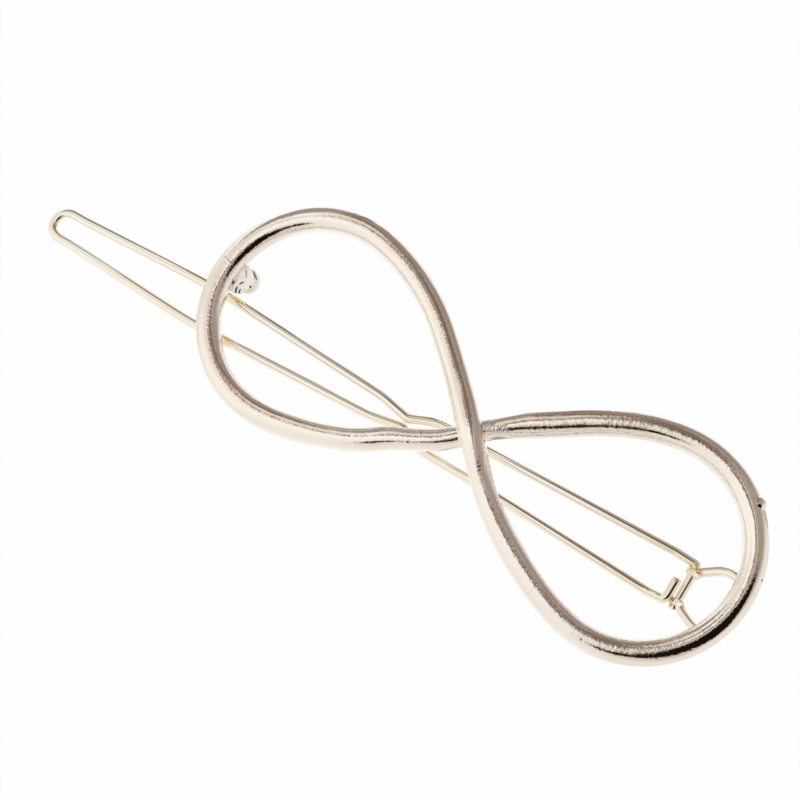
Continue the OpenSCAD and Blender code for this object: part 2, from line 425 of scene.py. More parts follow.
class Nodes:
    """Short calls that build a node tree.

    Args:
        tree: The tree to build in.
    """

    def __init__(self, tree: bpy.types.NodeTree) -> None:
        """Empties the tree."""
        self.tree = tree
        tree.nodes.clear()

    def add(self, kind: str, inputs: dict | None = None, **settings: object) -> bpy.types.Node:
        """Adds a node.

        Args:
            kind: Blender's name for the node's kind.
            inputs: Values or output sockets for its inputs, by name or number.
            **settings: What is set on it.

        Returns:
            The node.
        """
        node = self.tree.nodes.new(kind)
        for name, value in settings.items():
            setattr(node, name, value)
        for key, value in (inputs or {}).items():
            if isinstance(value, Socket):
                self.tree.links.new(value, node.inputs[key])
            else:
                node.inputs[key].default_value = value
        return node

    def math(self, operation: str, *values: Value) -> Socket:
        """Returns the result of one sum on values or sockets."""
        return self.add("ShaderNodeMath", dict(enumerate(values)), operation=operation).outputs[0]

    def plus(self, first: Value, second: Value) -> Socket:
        """Returns the sum of two values or sockets."""
        return self.math("ADD", first, second)

    def times(self, first: Value, second: Value) -> Socket:
        """Returns the product of two values or sockets."""
        return self.math("MULTIPLY", first, second)

    def vector_math(self, operation: str, *values: Value) -> bpy.types.NodeOutputs:
        """Returns the outputs of one sum on vectors: Vector and Value."""
        inputs = dict(enumerate(values))
        return self.add("ShaderNodeVectorMath", inputs, operation=operation).outputs

    def ramp(
        self, value: Value, low: float, high: float, start: float = 0.0, end: float = 1.0
    ) -> Socket:
        """Maps a value smoothly from one range to another, and holds it at the ends.

        Args:
            value: Value or socket to map.
            low: Where its range starts.
            high: Where its range ends.
            start: Result at the low end.
            end: Result at the high end.

        Returns:
            The result.
        """
        ends = {"From Min": low, "From Max": high, "To Min": start, "To Max": end}
        how = {"interpolation_type": "SMOOTHSTEP"}
        return self.add("ShaderNodeMapRange", {"Value": value, **ends}, **how).outputs[0]

    def finish(self, shader: Socket, kind: str = "ShaderNodeOutputMaterial") -> None:
        """Leads a shader to the tree's output."""
        self.tree.links.new(shader, self.add(kind).inputs["Surface"])

    def mix(self, share: Value, first: Value, second: Value) -> Socket:
        """Mixes two colours, each given as a socket or as red, green and blue.

        Args:
            share: Share of the second.
            first: First colour.
            second: Second colour.

        Returns:
            The mixed colour.
        """
        node = self.add("ShaderNodeMix", {"Factor": share}, data_type="RGBA")
        for socket, value in ((node.inputs[6], first), (node.inputs[7], second)):
            if isinstance(value, Socket):
                self.tree.links.new(value, socket)
            else:
                socket.default_value = (*value, 1.0)
        return node.outputs[2]

    def noise(
        self, place: Socket, size: float, detail: float = 2.0, roughness: float = 0.5
    ) -> Socket:
        """Returns noise with features of a size in the units of a place."""
        inputs = {"Vector": place, "Scale": 1 / size, "Detail": detail, "Roughness": roughness}
        return self.add("ShaderNodeTexNoise", inputs).outputs["Fac"]


def new_material(name: str) -> tuple[bpy.types.Material, Nodes]:
    """Makes a material.

    Args:
        name: Its name.

    Returns:
        The material, and the calls that build its nodes.
    """
    material = bpy.data.materials.new(name)
    material.use_nodes = True
    return material, Nodes(material.node_tree)


@dataclass(frozen=True)
class Spot:
    """A small patch in which a finish differs, as an ellipsoid in the band's frame.

    Args:
        at: Its middle, in millimetres.
        size: Its three half lengths.
        turn: Its turn about Z, in degrees.
        colour: Colour painted there, or nothing; most spots use it for painted shade or painted
            reflection.
        rough: How many times deeper the grain is there.
    """

    at: Point
    size: Point
    turn: float = 0.0
    colour: Colour | None = None
    rough: float = 1.0

    def mask(self, nodes: Nodes, place: Socket) -> Socket:
        """Builds the patch's mask.

        Args:
            nodes: Where to build it.
            place: Place in the band's frame, in millimetres.

        Returns:
            The mask, from 0 outside to 1 in its middle.
        """
        turned = (0, 0, radians(self.turn))
        inputs = {"Vector": place, "Location": self.at, "Rotation": turned, "Scale": self.size}
        local = nodes.add("ShaderNodeMapping", inputs, vector_type="TEXTURE").outputs[0]
        return nodes.ramp(nodes.vector_math("LENGTH", local)["Value"], 0.45, 1.0, 1.0, 0.0)


# where the flash fades beside the parting line, and the size of its patches and beads
FLASH_EDGE = (0.03, 0.13)
FLASH_PATCH = 3.5
FLASH_BEAD = 0.28
# size of the worn patches, and how much of the grain's depth shows in and between them
WEAR_SIZE = 6.0
WEAR = (0.7, 1.6)
# how much smaller and how deep the finest grain is, against the grain
FINE_STEP = 2.6
FINE_SHARE = 0.22
# from a pit's middle to its rim and to the edge of its painted shade, against the distance between
# pits
PIT_RIM = (0.03, 0.16)
PIT_SHADE_REACH = (0.05, 0.15)


@dataclass(frozen=True)
class Plating:
    """A bright metal plating, with lengths in millimetres.

    Args:
        name: Name of the material.
        colour: Colour of the metal.
        tint: Colour that it drifts to in patches.
        roughness: Roughness of the polish.
        matt: Share of the surface that is too rough to mirror.
        wave: Size and depth of the slow unevenness.
        grain: Size and depth of the fine grain.
        pits: Distance between pits, and their depth.
        pit_shade_colour: Colour of the painted shade in the pits, or nothing.
        flash_at: Height of the mould's parting line above the band's back.
        flash_depth: How far the flash stands out along it.
        spots: Patches that differ in grain or colour; most of their colours are painted shade or
            painted reflection.
    """

    name: str
    colour: Colour
    tint: Colour
    roughness: float
    matt: float
    wave: Pair
    grain: Pair
    pits: Pair
    pit_shade_colour: Colour | None = None
    flash_at: float = 1.0
    flash_depth: float = 0.0
    spots: tuple[Spot, ...] = ()

    def flash(self, nodes: Nodes, place: Socket) -> Socket:
        """Builds the broken line of flash along the parting line.

        Args:
            nodes: Where to build it.
            place: Place in the band's frame, in millimetres.

        Returns:
            How far it stands out, in millimetres.
        """
        height = nodes.add("ShaderNodeSeparateXYZ", {0: place}).outputs["Z"]
        off = nodes.math("ABSOLUTE", nodes.math("SUBTRACT", height, self.flash_at))
        line = nodes.ramp(off, *FLASH_EDGE, self.flash_depth, 0.0)
        patches = nodes.ramp(nodes.noise(place, FLASH_PATCH), 0.46, 0.60)
        beads = nodes.ramp(nodes.noise(place, FLASH_BEAD, 1.0), 0.40, 0.62)
        return nodes.times(nodes.times(line, patches), beads)

    def build(self) -> bpy.types.Material:
        """Builds the material.

        Returns:
            The material.
        """
        material, nodes = new_material(self.name)
        place = nodes.add("ShaderNodeTexCoord").outputs["Object"]
        inputs = {"Vector": place, "Scale": (1 / MM,) * 3, "Location": -crossing_place() / MM}
        scaled = nodes.add("ShaderNodeMapping", inputs).outputs[0]
        wave_size, wave_depth = self.wave
        grain_size, grain_depth = self.grain
        pit_size, pit_depth = self.pits
        patches = nodes.noise(scaled, 3 * wave_size, 3.0)
        colour = nodes.mix(nodes.ramp(patches, 0.35, 0.7), self.colour, self.tint)
        smears = nodes.noise(scaled, 2 * grain_size, 4.0, 0.65)
        polish = nodes.ramp(smears, 0.3, 0.8, 0.7 * self.roughness, 1.5 * self.roughness)
        worn = nodes.ramp(nodes.noise(scaled, WEAR_SIZE), 0.40, 0.62, *WEAR)
        for spot in self.spots:
            mask = spot.mask(nodes, scaled)
            # most spot colours are painted shade or painted reflection
            if spot.colour:
                colour = nodes.mix(mask, colour, spot.colour)
            worn = nodes.plus(worn, nodes.times(mask, spot.rough - 1))
        wave = nodes.times(nodes.noise(scaled, wave_size, 1.5), wave_depth)
        coarse = nodes.times(nodes.noise(scaled, grain_size, 3.0), grain_depth)
        fine = nodes.noise(scaled, grain_size / FINE_STEP)
        fine = nodes.times(fine, FINE_SHARE * grain_depth)
        grain = nodes.times(nodes.plus(coarse, fine), worn)
        inputs = {"Vector": scaled, "Scale": 1 / pit_size}
        cells = nodes.add("ShaderNodeTexVoronoi", inputs, feature="F1").outputs["Distance"]
        pits = nodes.ramp(cells, *PIT_RIM, -pit_depth, 0.0)
        # painted shade: each pit is darkened towards its middle
        if self.pit_shade_colour:
            pit_shade = nodes.ramp(cells, *PIT_SHADE_REACH, 1.0, 0.0)
            colour = nodes.mix(pit_shade, colour, self.pit_shade_colour)
        height = nodes.plus(nodes.plus(wave, grain), pits)
        if self.flash_depth:
            height = nodes.plus(height, self.flash(nodes, scaled))
        inputs = {"Height": height, "Distance": MM, "Strength": 1.0}
        inputs = {"Normal": nodes.add("ShaderNodeBump", inputs).outputs[0]}
        inputs |= {"Base Color": colour, "Roughness": polish, "Metallic": 1 - self.matt}
        nodes.finish(nodes.add("ShaderNodeBsdfPrincipled", inputs).outputs[0])
        return material


BAND_PLATING = Plating(
    name="champagne_plating",
    colour=(0.965, 0.905, 0.815),
    tint=(0.965, 0.885, 0.815),
    roughness=0.07,
    matt=0.0,
    wave=(2.2, 0.03),
    grain=(0.32, 0.022),
    pits=(1.6, 0.01),
    flash_depth=0.03,
    spots=(
        # painted shade: a greyer colour in the corner where the two strands meet
        Spot((1.1, 0.75, 1.5), (1.0, 1.3, 1.3), -33, (0.84, 0.77, 0.73), 5),
        Spot((2.6, 1.15, 1.6), (1.5, 0.75, 1.2), 33, rough=6),
        # painted shadow and reflection of the raised strand: dark brown low on the lower strand
        Spot((2.75, 0.5, 0.8), (1.1, 0.3, 0.6), 33, (0.45, 0.37, 0.30), 9),
        Spot((-2.1, 1.9, 1.5), (0.5, 0.9, 0.9), -33, rough=4),
        Spot((2.6, -1.9, 1.5), (0.5, 0.9, 0.9), -33, rough=4),
        Spot((-31.9, 0.34, 1.5), (1.3, 0.16, 1.5), -12, rough=4),
        Spot((-28.0, -6.6, 1.0), (2.4, 0.35, 0.6), -52, rough=7),
        Spot((32.49, 3.17, 1.0), (0.3, 0.2, 0.5), 0, (0.5, 0.42, 0.35), 8),
    ),
)

# painted shade, near black, for the pits and grooves of the stud and its solder
PAINTED_PIT_SHADE = (0.02, 0.012, 0.008)
# painted shade in the curl of each of the bail's eyes
EYE_CURL_SHADE = (0.72, 0.38, 0.20)
# painted warm reflection of nearby plating on the wire
WARM_REFLECTION = (0.93, 0.70, 0.36)

ROUGH_PLATING = Plating(
    name="rough_plating",
    colour=(0.99, 0.945, 0.91),
    tint=(0.99, 0.93, 0.84),
    roughness=0.30,
    matt=0.90,
    wave=(0.9, 0.04),
    grain=(0.25, 0.012),
    pits=(1.1, 0.04),
    # painted shade darkens the pits
    pit_shade_colour=(0.30, 0.24, 0.19),
    spots=(
        # painted shade: dark and grey marks in the pits and grooves of the stud and its solder
        Spot((-30.68, -0.86, 0.0), (0.12, 0.42, 1.5), -5, PAINTED_PIT_SHADE, 4),
        Spot((-30.42, -0.98, 0.0), (0.30, 0.10, 1.5), -35, PAINTED_PIT_SHADE, 4),
        Spot((-30.17, -1.10, 0.0), (0.12, 0.40, 1.5), -5, PAINTED_PIT_SHADE, 4),
        Spot((-29.50, -0.72, 0.0), (0.11, 0.42, 1.5), -20, PAINTED_PIT_SHADE, 4),
        Spot((-29.66, -1.62, 0.0), (0.13, 0.60, 1.8), 0, PAINTED_PIT_SHADE, 4),
        Spot((-29.32, -1.55, 0.0), (0.10, 0.42, 1.8), -5, PAINTED_PIT_SHADE, 4),
        Spot((-29.75, 0.45, 0.0), (0.10, 0.60, 1.5), 35, (0.36, 0.33, 0.31), 4),
        Spot((-29.93, 1.15, -2.9), (0.13, 0.75, 0.8), 57, (0.16, 0.13, 0.12), 4),
        Spot((-29.60, -0.16, -2.9), (0.20, 0.13, 0.8), 0, PAINTED_PIT_SHADE, 4),
        # painted reflection: yellow from the gold arm passing close to the stud and the solder
        Spot((-29.35, -0.65, -2.9), (1.0, 0.55, 1.0), 30, (0.97, 0.86, 0.60)),
        Spot((-30.0, -2.3, -0.6), (1.1, 0.55, 1.2), -30, (0.93, 0.86, 0.50)),
    ),
)

WIRE_PLATING = Plating(
    name="gold_wire",
    colour=(0.97, 0.93, 0.84),
    tint=(0.96, 0.89, 0.73),
    roughness=0.06,
    matt=0.0,
    wave=(5.0, 0.02),
    grain=(0.5, 0.002),
    pits=(3.0, 0.002),
    spots=(
        # painted shade: orange brown in the curls of the two eyes at the hinge
        Spot((26.9, 0.95, -2.6), (0.45, 0.5, 0.7), 0, EYE_CURL_SHADE),
        Spot((26.1, -3.3, -2.9), (0.6, 0.5, 0.7), 0, EYE_CURL_SHADE),
        # painted reflection: warm tint where the wire passes the eye, the stud and the band
        Spot((25.9, 0.9, -2.6), (0.5, 0.8, 0.6), 0, WARM_REFLECTION),
        Spot((-29.4, -2.2, -2.3), (2.0, 0.8, 0.9), 0, WARM_REFLECTION),
        Spot((-28.0, -6.5, -2.3), (1.3, 0.8, 0.9), 0, WARM_REFLECTION),
    ),
)


@dataclass
class BentWire:
    """A round wire through points, with a round bend at each point but the first and last.

    Args:
        points: Points that the wire aims for, in its own plane.
        bends: Radius of the bend at each point, to the wire's axis.
        radius: Radius of the wire.
        place: Where that plane lies in the band's frame.
        corners: Number of points round the wire.
        pitch: Greatest distance between two rings.
        burr: Size of the small bevel round each cut end.
    """

    points: list[Vector]
    bends: list[float]
    radius: float
    place: Matrix
    corners: int = 40
    pitch: float = 0.8
    burr: float = 0.07

    def cut(self, away: Vector, along: Vector) -> bool:
        """Returns whether a point lies on a cut end, by its place from that end's middle."""
        return abs(away.dot(along)) < TOUCH and away.length < 2 * self.radius

    def path(self) -> list[Turn | Run]:
        """Finds the wire's bends and straights, in its own plane.

        Returns:
            The bends and straights, in order.
        """
        spots = self.points
        made: list[Turn | Run] = []
        at = spots[0]
        for before, spot, after, radius in zip(spots, spots[1:], spots[2:], self.bends[1:]):
            arriving = heading(before, spot)
            leaving = heading(spot, after)
            angle = arriving.angle(leaving)
            trim = radius * math.tan(angle / 2)
            start = spot - arriving * trim
            side = arriving.cross(leaving).normalized()
            made.append(Run(start - at))
            made.append(Turn(start + side.cross(arriving) * radius, side, angle, radius))
            at = spot + leaving * trim
        made.append(Run(spots[-1] - at))
        return made

    def build(self, name: str) -> Piece:
        """Models the wire, with both ends cut square and slightly bevelled.

        Args:
            name: Name of the piece.

        Returns:
            The piece, in object mode.
        """
        piece = Piece(name)
        spots = self.points
        first = heading(spots[0], spots[1])
        last = heading(spots[-2], spots[-1])
        piece.ring(spots[0], first, self.radius, self.corners)
        piece.lead(self.path(), self.pitch)
        for spot, along in ((spots[0], first), (spots[-1], last)):
            piece.select_where(lambda co, s=spot, a=along: self.cut(co - s, a))
            bpy.ops.mesh.edge_face_add()
            bpy.ops.mesh.bevel(offset=self.burr, segments=3, affect="EDGES", clamp_overlap=True)
        piece.close()
        piece.put(self.place)
        return piece


@dataclass
class Band:
    """The cast figure-eight band, one closed length of a domed section.

    Args:
        reach: From the crossing to the centre line at either end.
        end_r: Radius of the centre line round each end.
        flank_r: Radius of it along each flank.
        flank_turn: Where the two meet, past the end arc's highest point, in degrees.
        gate_r: Radius of the nub that the gate left on the outer edge.
        gate_proud: How far it stands out.
        gate_turn: Its direction from the middle of the right end arc, in degrees.
        width: Width of the section.
        height: Height of the section.
        lift: How far the upper strand is raised over the lower one.
        lift_share: Share of the straight strand over which it is raised.
        foot_r: Radius that rounds the section's back corners.
        pitch: Greatest distance between two rings.
        web_at: Middle of the web of metal in the crossing's corner.
        web_size: Its three half lengths.
        rough_at: Middle of the roughness round it.
        rough_reach: Where that has died away.
        rough_grain: Size and depth of that roughness.
        slack: Where the casting is out of true.
    """

    reach: float = 31.65
    end_r: float = 11.2
    flank_r: float = 22.9
    flank_turn: float = 9.2
    gate_r: float = 0.9
    gate_proud: float = 0.28
    gate_turn: float = 51.0
    width: float = 2.6
    height: float = 2.0
    lift: float = 0.9
    lift_share: float = 0.77
    foot_r: float = 0.22
    pitch: float = 0.5
    web_at: Point = (1.0, 0.95, 0.75)
    web_size: Point = (0.85, 0.8, 0.85)
    rough_at: Point = (1.1, 1.0, 0.9)
    rough_reach: float = 1.5
    rough_grain: Pair = (0.35, 0.16)
    slack: tuple[Slack, ...] = (
        Slack((9.7, 6.9), (9.5, 9.5), 0, (0.12, -0.34)),
        Slack((-7.0, -5.7), (6.5, 6.5), 0, (0.15, -0.22)),
        Slack((7.3, -7.1), (7.5, 7.5), 0, (-0.34, -0.24)),
        Slack((-3.27, -1.22), (7.0, 6.0), 33, (0.59, -0.85)),
        Slack((4.88, -2.69), (8.0, 6.0), -38, (-0.68, -0.45)),
        Slack((1.29, 2.44), (4.0, 3.0), 33, (0.24, -0.34)),
        Slack((-11.1, -7.1), (6.0, 3.5), 25, (0.15, -0.2)),
    )

    def end_c(self) -> float:
        """Returns the distance from the crossing to the centre of either end arc."""
        return self.reach - self.end_r

    def flank_c(self) -> Vector:
        """Finds the centre of the arc along the right loop's upper flank.

        Returns:
            The centre.
        """
        ease = radians(self.flank_turn)
        more = self.flank_r - self.end_r
        return Vector((self.end_c() + more * math.sin(ease), -more * math.cos(ease), 0.0))

    def strand_turn(self) -> float:
        """Returns the angle between either strand and the band's long axis, in radians."""
        centre = self.flank_c()
        return math.atan2(centre.y, centre.x) + math.asin(self.flank_r / centre.length)

    def strand_len(self) -> float:
        """Returns the length of the straight strand on one side of the crossing."""
        return math.sqrt(self.flank_c().length_squared - self.flank_r**2)

    def loop(self, side: int) -> list[Turn | Run]:
        """Returns the arcs round one end, entered along the lower strand.

        Args:
            side: 1 for the right loop, -1 for the left one.

        Returns:
            The three arcs, in order.
        """
        down = UP * -side
        upper = self.flank_c()
        near = Vector((side * upper.x, upper.y, 0.0))
        far = Vector((side * upper.x, -upper.y, 0.0))
        end = Vector((side * self.end_c(), 0.0, 0.0))
        ease = radians(self.flank_turn)
        sweep = self.strand_turn() - ease
        return [
            Turn(near, down, sweep, self.flank_r),
            Turn(end, down, math.pi + 2 * ease, self.end_r),
            Turn(far, down, sweep, self.flank_r),
        ]

    def over(self) -> list[Turn | Run]:
        """Finds the raised strand's path, from the right loop to the left one.

        Returns:
            Its bends and straights, in order.
        """
        length = self.lift_share * self.strand_len()
        radius = (length * length / self.lift + self.lift) / 4
        turn = math.acos(1 - self.lift / (2 * radius))
        angle = -self.strand_turn()
        back = Vector((-math.cos(angle), -math.sin(angle), 0.0))
        across = back.cross(UP)
        flat = Run(back * (self.strand_len() - length))
        return [
            flat,
            Turn(UP * radius - back * length, across, turn, radius),
            Turn(UP * (self.lift - radius), -across, 2 * turn, radius),
            Turn(UP * radius + back * length, across, turn, radius),
            flat,
        ]

    def section(self, piece: Piece) -> None:
        """Adds the domed section at the crossing, square to the lower strand, and selects it.

        Args:
            piece: The piece to start.
        """
        turned = (math.pi / 2, 0.0, self.strand_turn() + math.pi / 2)
        piece.plate((self.width, self.height), (0.0, 0.0, self.height / 2), turned)
        piece.select_where(lambda co: co.z > self.height / 2)
        bpy.ops.mesh.bevel(offset=self.width / 2 - 0.0001, segments=18, affect="VERTICES")
        piece.select_where(lambda co: co.z < TOUCH)
        bpy.ops.mesh.bevel(offset=self.foot_r, segments=4, affect="VERTICES")
        select_mesh()
        bpy.ops.mesh.remove_doubles(threshold=TOUCH)
        bpy.ops.mesh.delete(type="ONLY_FACE")
        select_mesh()

    def build(self) -> Piece:
        """Models the band.

        Returns:
            The piece, in object mode.
        """
        piece = Piece("cast_band")
        self.section(piece)
        turn = self.strand_turn()
        flat = Run(Vector((math.cos(turn), math.sin(turn), 0.0)) * self.strand_len())
        piece.lead([flat, *self.loop(1), *self.over(), *self.loop(-1), flat], self.pitch)
        piece.close(0.01)
        out = self.end_r + self.width / 2 + self.gate_proud - self.gate_r
        turn = radians(self.gate_turn)
        gate = (self.end_c() + out * math.cos(turn), out * math.sin(turn), self.height / 2)
        nub = Piece("gate_nub").ball(Vector(gate), (self.gate_r,) * 3, 4)
        piece.apply(Union.JOIN, nub, own=True)
        web = Piece("cast_web").ball(Vector(self.web_at), self.web_size, 3)
        piece.apply(Union.JOIN, web)
        piece.close()
        piece.modify("SUBSURF", levels=1, render_levels=1)
        for slack in self.slack:
            piece.nudge(slack)
        middle = Vector(self.rough_at)
        piece.group("web", lambda co: max(0.0, 1 - (co - middle).length / self.rough_reach))
        piece.roughen(self.rough_grain, group="web")
        return piece


@dataclass
class Catch:
    """The catch stud behind the left end, and the solder between it and the band.

    Args:
        x: From the crossing to the stud's axis.
        y: Stud's axis to the side of the band's long axis.
        depth: Height of the stud.
        radius: Radius of its head.
        groove_r: Radius of the groove.
        foot_r: Radius of the foot.
        foot_h: Height of the foot.
        head_h: Height of the head.
        edge: Radius that rounds the rims.
        voxel: Size of the cast surface's faces.
        lumps: Middle of each lump of solder, from the stud's axis, and its half lengths.
        stud_grains: Size and depth of each roughness of the stud.
        solder_grains: Size and depth of each roughness of the solder.
    """

    x: float = 30.4
    y: float = 0.25
    depth: float = 3.8
    radius: float = 1.35
    groove_r: float = 0.9
    foot_r: float = 1.05
    foot_h: float = 1.0
    head_h: float = 0.9
    edge: float = 0.3
    voxel: float = 0.06
    lumps: tuple[tuple[Point, Point], ...] = (
        ((0.25, -0.95, -0.5), (1.25, 1.25, 1.0)),
        ((-0.1, 0.15, -0.2), (1.0, 0.8, 0.65)),
    )
    stud_grains: tuple[Pair, ...] = ((0.6, 0.10), (0.2, 0.02))
    solder_grains: tuple[Pair, ...] = ((0.7, 0.22), (0.25, 0.04))

    def axis(self) -> Vector:
        """Returns the point of the stud's axis on the band's back."""
        return Vector((-self.x, self.y, 0.0))

    def disc(self, low: float, high: float, radius: float) -> list[Pair]:
        """Finds the profile of a disc with rounded rims.

        Args:
            low: Height of its lower face.
            high: Height of its upper face.
            radius: Its radius.

        Returns:
            Height and radius of each ring, from the lowest up.
        """
        inner = radius - self.edge
        lower, upper = [], []
        for step in range(5):
            turn = radians(step * 22.5)
            rise = self.edge * (1 - math.cos(turn))
            out = inner + self.edge * math.sin(turn)
            lower.append((low + rise, out))
            upper.append((high - rise, out))
        return lower + upper[::-1]

    def build_stud(self) -> Piece:
        """Models the stud.

        Returns:
            The piece, in object mode.
        """
        piece = Piece("cast_stud")
        head = self.disc(-self.depth, self.head_h - self.depth, self.radius)
        foot = self.disc(-self.foot_h, -TOUCH, self.foot_r)
        waist = [(head[-1][0] + TOUCH, self.groove_r), (foot[0][0] - TOUCH, self.groove_r)]
        piece.turned(self.axis(), head + waist + foot)
        piece.recast(self.voxel)
        piece.group("rough", lambda co: min(1.0, max(0.0, (co.z + self.depth) / 0.3)))
        piece.roughen(*self.stud_grains, group="rough")
        piece.close()
        return piece

    def build_solder(self) -> Piece:
        """Models the solder.

        Returns:
            The piece, in object mode.
        """
        lump, more = self.lumps
        piece = Piece("solder_lump").ball(self.axis() + Vector(lump[0]), lump[1])
        rest = Piece("solder_more").ball(self.axis() + Vector(more[0]), more[1])
        piece.apply(Union.JOIN, rest)
        piece.recast(self.voxel)
        piece.roughen(*self.solder_grains)
        piece.close()
        return piece


@dataclass
class Hinge:
    """The hinge bar's place behind the band's right end, and how the arm leaves it.

    Args:
        x: From the crossing to the bar's axis.
        y: Bar's middle to the side of the band's long axis.
        drop: Depth of its axis behind the band's back.
        turn: Turn of the arm away from the band's long axis, in degrees.
        rise: Rise of the arm towards its tip, in degrees.
    """

    x: float = 26.3
    y: float = -0.95
    drop: float = 3.0
    turn: float = 3.7
    rise: float = 0.8

    def place(self, tilt: float) -> Matrix:
        """Returns the plane of a wire that leaves the hinge at a tilt.

        Args:
            tilt: Turn about the hinge bar, in radians.

        Returns:
            The matrix from that plane to the band's frame.
        """
        turned = Matrix.Rotation(radians(self.turn), 4, "Z")
        moved = Matrix.Translation((self.x, self.y, -self.drop))
        return moved @ turned @ Matrix.Rotation(tilt, 4, "Y")


@dataclass
class Arm:
    """The sprung arm: one wire, with the hinge bar and the tail beside it at its ends.

    Args:
        hinge: Where the hinge lies.
        wire_r: Radius of the wire.
        leg_half: Half the distance between the legs at the hinge.
        bar_reach: How far the bar's cut end passes the arm's middle.
        tail_x: From the bar's axis to the tail's.
        tail_rise: Height of the tail's axis above the bar's.
        tail_end: Place of the tail's cut end, across the arm.
        bend_r: Radius of the bends at the hinge.
        legs: Points of the upper leg: along the arm, and half the distance between the legs.
        leg_bends: Radius of the bend at each of them.
    """

    hinge: Hinge
    wire_r: float = 0.5
    leg_half: float = 2.34
    bar_reach: float = 2.75
    tail_x: float = 1.05
    tail_rise: float = 0.86
    tail_end: float = 0.1
    bend_r: float = 0.55
    legs: tuple[Pair, ...] = (
        (2.6, 2.46),
        (25.0, 1.74),
        (30.4, 1.72),
        (33.3, 0.5148),
        (36.8, 1.2),
        (59.0, 2.26),
        (75.6, 1.5),
        (78.4, 1.5),
    )
    leg_bends: tuple[float, ...] = (4.0, 30.0, 6.0, 1.2, 8.0, 60.0, 8.0, 1.42)

    def build(self) -> Piece:
        """Models the arm.

        Returns:
            The piece, in object mode.
        """
        points = [(0.0, -self.bar_reach, 0.0), (0.0, self.leg_half, 0.0)]
        points += [(-x, y, 0.0) for x, y in self.legs]
        points += [(-x, -y, 0.0) for x, y in reversed(self.legs)]
        points += [(-self.tail_x, y, self.tail_rise) for y in (-self.leg_half, self.tail_end)]
        bends = [0.0, self.bend_r, *self.leg_bends, *reversed(self.leg_bends), self.bend_r, 0.0]
        place = self.hinge.place(radians(self.hinge.rise))
        wire = BentWire([Vector(point) for point in points], bends, self.wire_r, place)
        return wire.build("sprung_arm")


@dataclass
class Bail:
    """The D-shaped base wire, with an eye rolled at each end.

    Args:
        hinge: Where the hinge lies.
        wire_r: Radius of the wire.
        far_x: From the crossing to the axis of its far side.
        far_drop: Depth of that axis behind the band's back.
        half: From its middle to its upper and to its lower wire.
        neck: Where these begin to spread: along the bail, and out from the eye.
        spread: Where they have spread fully.
        eyes: From the hinge's middle to the upper and to the lower eye.
        start: Where the wires start, from the bar's axis.
        bends: Radius of each bend.
        eye_r: Outer radius of each eye.
        bore_r: Inner radius of each eye.
        eye_w: Width of each eye.
        eye_edge: Radius that rounds the edges of the flattened wire.
        eye_turn: How far the eye is rolled round, in degrees.
        spare: How far its wall reaches into the bore, before that is cut.
        tongue: Where the flattened end starts, from the eye's top, and its steps on.
    """

    hinge: Hinge
    wire_r: float = 0.5
    far_x: float = 31.6
    far_drop: float = 0.6
    half: Pair = (3.1, 3.4)
    neck: Pair = (1.0, 0.6)
    spread: float = 2.9
    eyes: Pair = (1.44, 1.95)
    start: float = 0.3
    bends: tuple[float, ...] = (0.0, 1.2, 3.0, 2.0, 2.0, 3.0, 1.2, 0.0)
    eye_r: float = 0.8
    bore_r: float = 0.54
    eye_w: float = 0.72
    eye_edge: float = 0.14
    eye_turn: float = 285.0
    spare: float = 0.03
    tongue: tuple[Point, ...] = ((0.9, 0.0, -0.15), (-0.45, 0.0, 0.10), (-0.45, 0.0, 0.05))

    def tilt(self) -> float:
        """Returns the bail's tilt about the hinge bar, in radians."""
        return -math.atan2(self.hinge.drop - self.far_drop, self.far_x - self.hinge.x)

    def build(self) -> Piece:
        """Models the bail's wire.

        Returns:
            The piece, in object mode.
        """
        length = math.hypot(self.far_x - self.hinge.x, self.hinge.drop - self.far_drop)
        upper, lower = self.half
        near, out = self.neck
        above, below = self.eyes
        flat = [(self.start, above), (near, above + out), (self.spread, upper), (length, upper)]
        flat += [(length, -lower), (self.spread, -lower), (near, -below - out)]
        flat.append((self.start, -below))
        points = [Vector((x, y, 0.0)) for x, y in flat]
        place = self.hinge.place(self.tilt())
        piece = BentWire(points, list(self.bends), self.wire_r, place).build("bail_wire")
        for y in (above, -below):
            piece.apply(Union.JOIN, self.eye(y, place))
        bore = Piece("bore")
        bore.turned(Vector(), [(-max(self.half), self.bore_r), (max(self.half), self.bore_r)])
        bore.put(place @ Matrix.Rotation(math.pi / 2, 4, "X"))
        piece.apply(Union.CUT, bore)
        piece.close()
        return piece

    def eye(self, y: float, place: Matrix) -> Piece:
        """Models the flattened end of the wire, rolled round the hinge bar.

        Args:
            y: Place of its middle along the hinge bar.
            place: Where the bail's plane lies in the band's frame.

        Returns:
            The piece, in object mode.
        """
        thick = self.eye_r - self.bore_r + self.spare
        mid_r = self.eye_r - thick / 2
        piece = Piece("rolled_eye")
        start, *steps = self.tongue
        at = (start[0], y, mid_r + start[2])
        piece.plate((thick, self.eye_w), at, (0.0, math.pi / 2, 0.0))
        bpy.ops.mesh.bevel(offset=self.eye_edge, segments=5, affect="VERTICES")
        select_mesh()
        for step in steps:
            extrude(step)
        hub = Vector((0, y, 0))
        piece.lead([Turn(hub, Vector((0, -1, 0)), radians(self.eye_turn), mid_r)], 0.1)
        piece.close()
        piece.put(place)
        return piece


